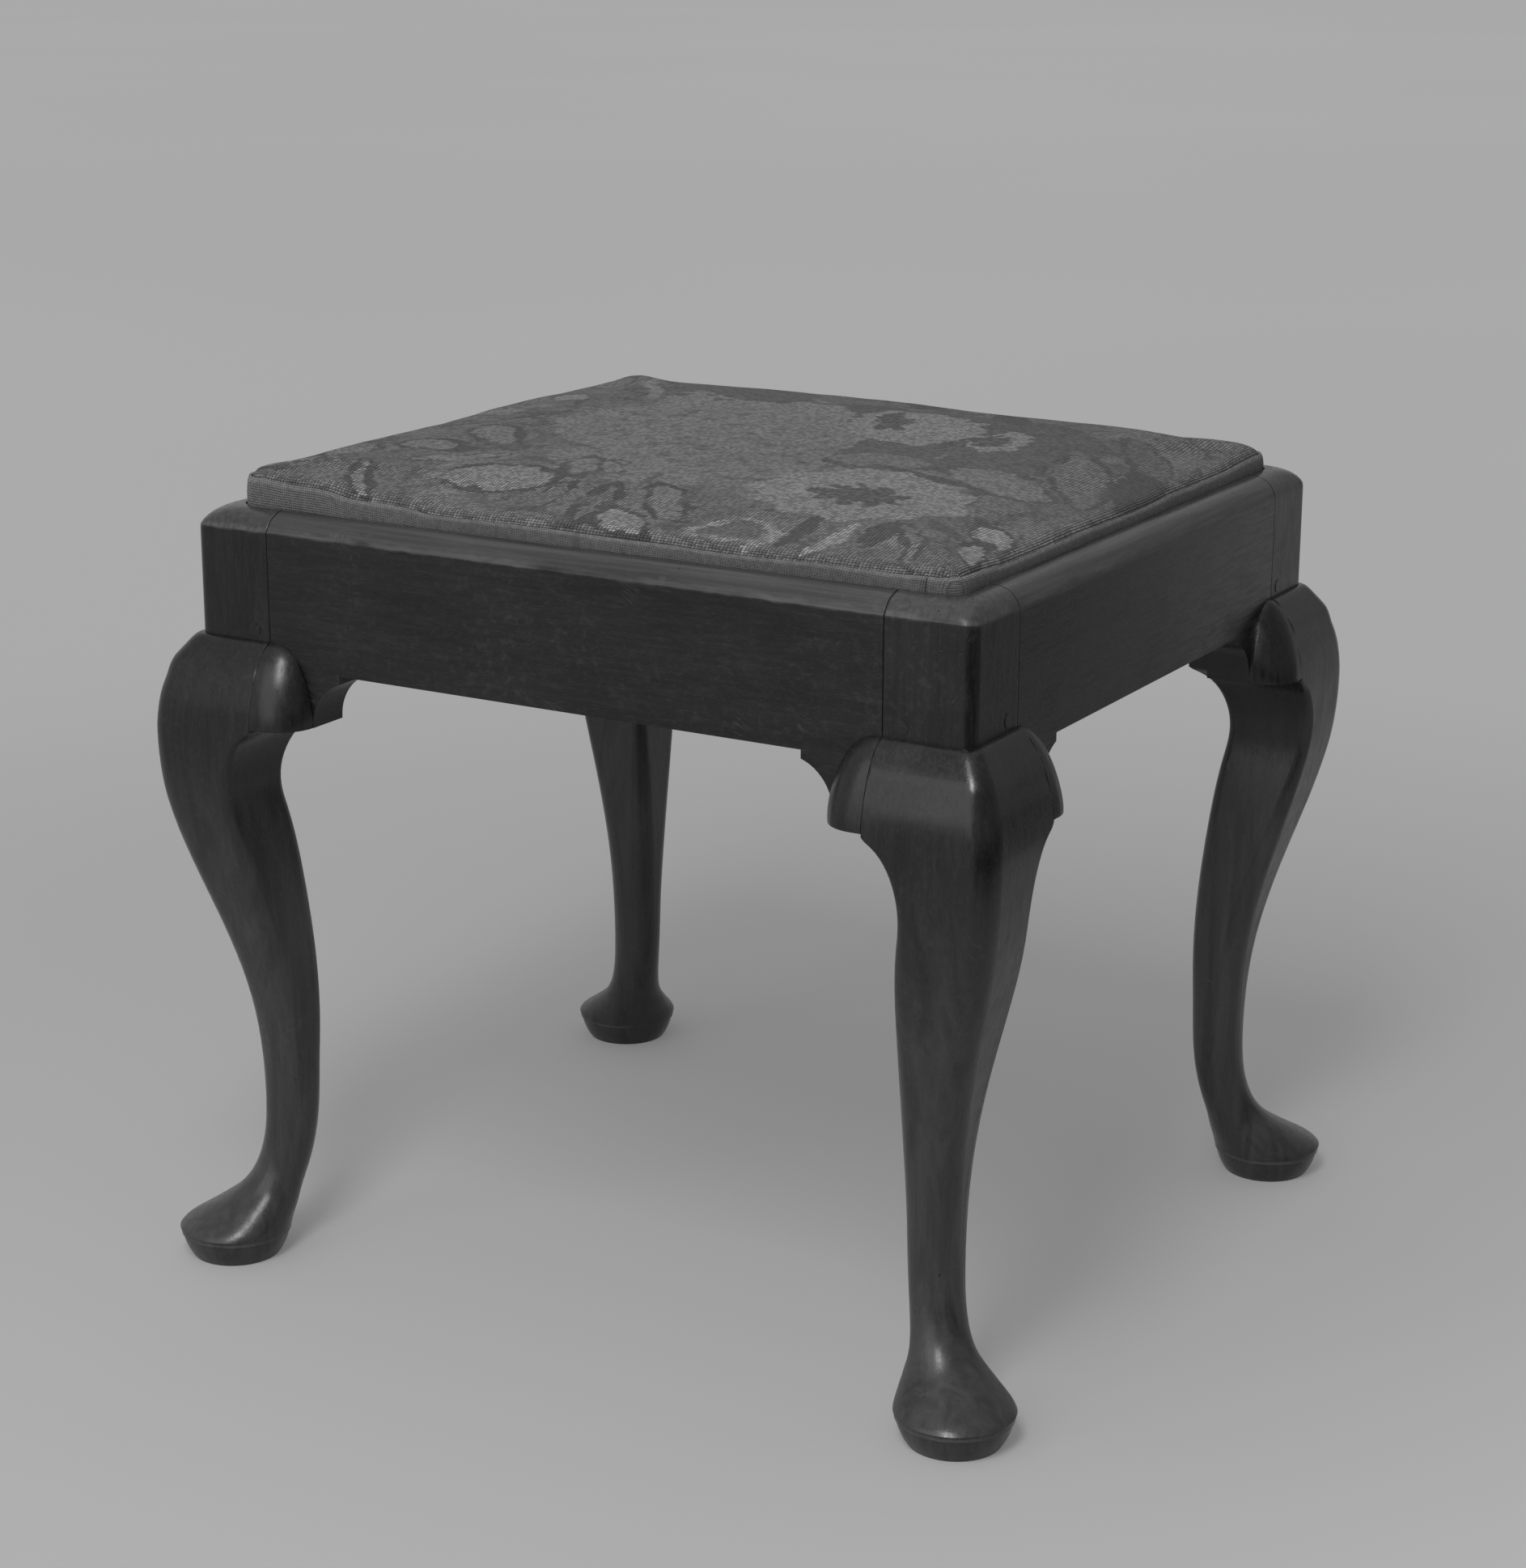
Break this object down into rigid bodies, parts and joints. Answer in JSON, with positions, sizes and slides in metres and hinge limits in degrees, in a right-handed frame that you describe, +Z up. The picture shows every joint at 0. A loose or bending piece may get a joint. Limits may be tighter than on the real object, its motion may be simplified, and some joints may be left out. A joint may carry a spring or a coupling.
{
  "type": "footstool",
  "caption": "Wooden footstool on cabriole legs with pad feet, pegged rails with shaped ends and a lift-out seat covered in floral needlework.",
  "frame": {"origin": "on the floor under the middle of the stool", "axes": "+X along the long front rail to the right, +Y from the front rail to the back rail, +Z up"},
  "size_m": [0.5204, 0.4744, 0.4496],
  "materials": {
    "show_wood": "dark stained hardwood, waxed to a gloss, worn on its edges",
    "peg_wood": "dark end grain, waxed",
    "block_wood": "raw softwood, aged",
    "seat_frame_wood": "raw beech, aged",
    "webbing": "woven jute webbing",
    "sacking": "coarse jute cloth",
    "stuffing": "curled hair",
    "linen": "plain unbleached linen",
    "needlework": "wool needlework with flowers and leaves",
    "tape": "plain woven tape",
    "tack_steel": "blued steel, dull"
  },
  "bodies": {
    "frame": {"leg_front_left": "show_wood", "leg_front_right": "show_wood", "leg_back_left": "show_wood", "leg_back_right": "show_wood", "ear_front_left": "show_wood", "ear_front_right": "show_wood", "ear_back_left": "show_wood", "ear_back_right": "show_wood", "ear_left_front": "show_wood", "ear_left_back": "show_wood", "ear_right_front": "show_wood", "ear_right_back": "show_wood", "rail_front": "show_wood", "rail_back": "show_wood", "rail_left": "show_wood", "rail_right": "show_wood", "tenon_pegs": "peg_wood", "glue_block_front_left": "block_wood", "glue_block_front_right": "block_wood", "glue_block_back_left": "block_wood", "glue_block_back_right": "block_wood"},
    "slip_seat": {"seat_rail_front": "seat_frame_wood", "seat_rail_back": "seat_frame_wood", "seat_rail_left": "seat_frame_wood", "seat_rail_right": "seat_frame_wood", "webbing_lengthwise": "webbing", "webbing_crosswise": "webbing", "sacking": "sacking", "stuffing": "stuffing", "undercover": "linen", "needlework_cover": "needlework", "edge_tape": "tape", "webbing_tacks": "tack_steel", "cover_tacks": "tack_steel"}
  },
  "joints": [
    {"name": "slip_seat_lift", "type": "slide", "parent": "frame", "child": "slip_seat", "axis": [0, 0, 1], "range_m": [0, 0.1]}
  ]
}
